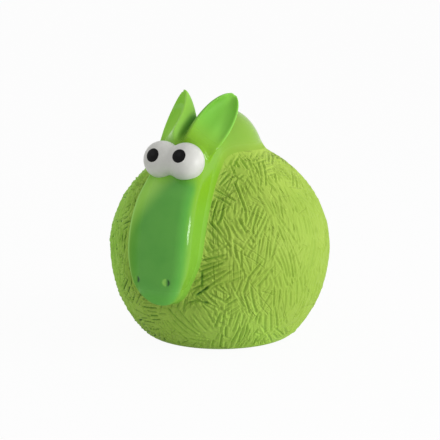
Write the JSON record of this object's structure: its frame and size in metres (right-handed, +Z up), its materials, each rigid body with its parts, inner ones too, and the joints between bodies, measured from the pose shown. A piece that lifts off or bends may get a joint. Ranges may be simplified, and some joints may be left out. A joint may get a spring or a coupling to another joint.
{
  "type": "squeaky dog toy",
  "caption": "Hollow rubber ball-shaped farm animal chew toy with a long face, upright ears, bulging eyes and a squeaker in the base.",
  "frame": {"origin": "centre of the bounding box in plan, on the surface that the toy stands on", "axes": "+Z up, the face looks along -Y, +X is the animal's left"},
  "size_m": [0.088, 0.1004, 0.1],
  "materials": {
    "fleece": "matte latex, carved with crossing strokes",
    "face": "satin latex, airbrushed darker down the front",
    "eye_white": "gloss white paint on latex",
    "pupil_black": "gloss black paint on latex",
    "squeaker_plastic": "moulded polyethylene",
    "reed_metal": "thin rolled strip"
  },
  "bodies": {
    "base": {"body_shell": "fleece", "squeaker_housing": "squeaker_plastic", "reed_plate": "squeaker_plastic", "reed_clamp": "squeaker_plastic", "squeaker_cap": "squeaker_plastic"},
    "reed": {"squeaker_reed": "reed_metal"},
    "crown": {"head_shell": "face", "eye_left": "eye_white", "eye_right": "eye_white", "pupil_left": "pupil_black", "pupil_right": "pupil_black"},
    "ear_left": {"ear_left": "face"},
    "ear_right": {"ear_right": "face"}
  },
  "joints": [
    {"name": "squeeze", "type": "slide", "parent": "base", "child": "crown", "axis": [0, 0, -1], "range_m": [0, 0.02], "stiffness_N_per_m": 400, "springref_m": -0.002, "deforming": ["body_shell"]},
    {"name": "ear_left_fold", "type": "hinge", "parent": "crown", "child": "ear_left", "pos_m": [0.00396, -0.0189, 0.08206], "axis": [1, 0, 0], "range_deg": [-10, 35], "stiffness_Nm_per_rad": 0.01, "springref_deg": 0.4},
    {"name": "ear_right_fold", "type": "hinge", "parent": "crown", "child": "ear_right", "pos_m": [-0.00396, -0.0189, 0.08206], "axis": [1, 0, 0], "range_deg": [-10, 35], "stiffness_Nm_per_rad": 0.01, "springref_deg": 0.4},
    {"name": "reed_flex", "type": "hinge", "parent": "base", "child": "reed", "pos_m": [0, 0.0094, 0.0073], "axis": [-1, 0, 0], "range_deg": [-3, 6], "stiffness_Nm_per_rad": 0.0002, "springref_deg": 0.63}
  ]
}
